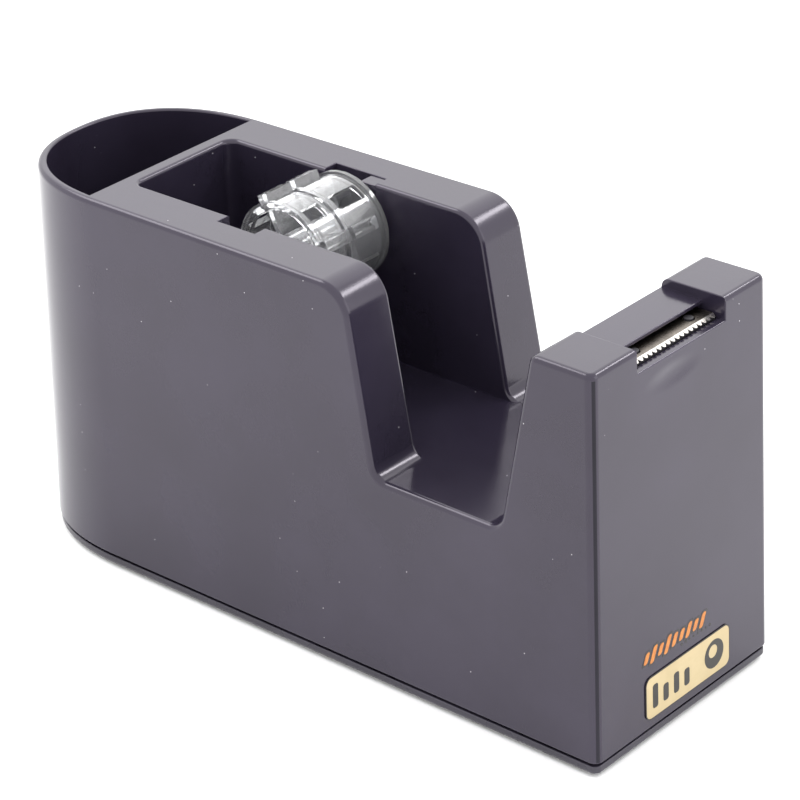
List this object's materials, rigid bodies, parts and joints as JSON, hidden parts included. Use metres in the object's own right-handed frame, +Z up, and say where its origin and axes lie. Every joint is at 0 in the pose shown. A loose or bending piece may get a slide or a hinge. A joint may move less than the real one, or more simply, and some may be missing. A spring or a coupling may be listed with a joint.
{
  "type": "desktop tape dispenser",
  "caption": "Weighted desktop tape dispenser: hollow moulded body with rear pen cup, tape well, V-shaped gap, front tower with a recessed serrated blade, and a clear lift-out tape hub.",
  "frame": {"origin": "on the resting surface, under the centre of the bounding box", "axes": "+X along the length towards the blade tower, -X towards the pen cup; Y across the width, -Y is the side facing the viewer; +Z up"},
  "size_m": [0.17, 0.06, 0.0924],
  "materials": {
    "housing_plastic": "satin moulded",
    "base_plastic": "fine matt",
    "ballast_cement": "cast, rough",
    "rubber": "matt",
    "screw_steel": "zinc plated",
    "blade_steel": "ground",
    "carrier_plastic": "matt",
    "clear_plastic": "clear polished",
    "label_film": "satin metallic film"
  },
  "bodies": {
    "body": {"housing": "housing_plastic", "base_plate": "base_plastic", "ballast_block": "ballast_cement", "foot_front_near": "rubber", "foot_front_far": "rubber", "foot_rear_near": "rubber", "foot_rear_far": "rubber", "base_screw_front_near": "screw_steel", "base_screw_front_far": "screw_steel", "base_screw_middle_near": "screw_steel", "base_screw_middle_far": "screw_steel", "base_screw_rear_near": "screw_steel", "base_screw_rear_far": "screw_steel", "blade_carrier": "carrier_plastic", "cutting_blade": "blade_steel", "carrier_screw_near": "screw_steel", "carrier_screw_far": "screw_steel", "front_label": "label_film"},
    "axle": {"hub_axle": "clear_plastic"},
    "drum": {"hub_flanged_half": "clear_plastic", "hub_plain_half": "clear_plastic"}
  },
  "joints": [
    {"name": "hub_lift", "type": "slide", "parent": "body", "child": "axle", "axis": [0, 0, 1], "range_m": [0, 0.035]},
    {"name": "hub_spin", "type": "hinge", "parent": "axle", "child": "drum", "pos_m": [-0.0155, 0, 0.0794], "axis": [0, 1, 0], "continuous": true}
  ]
}
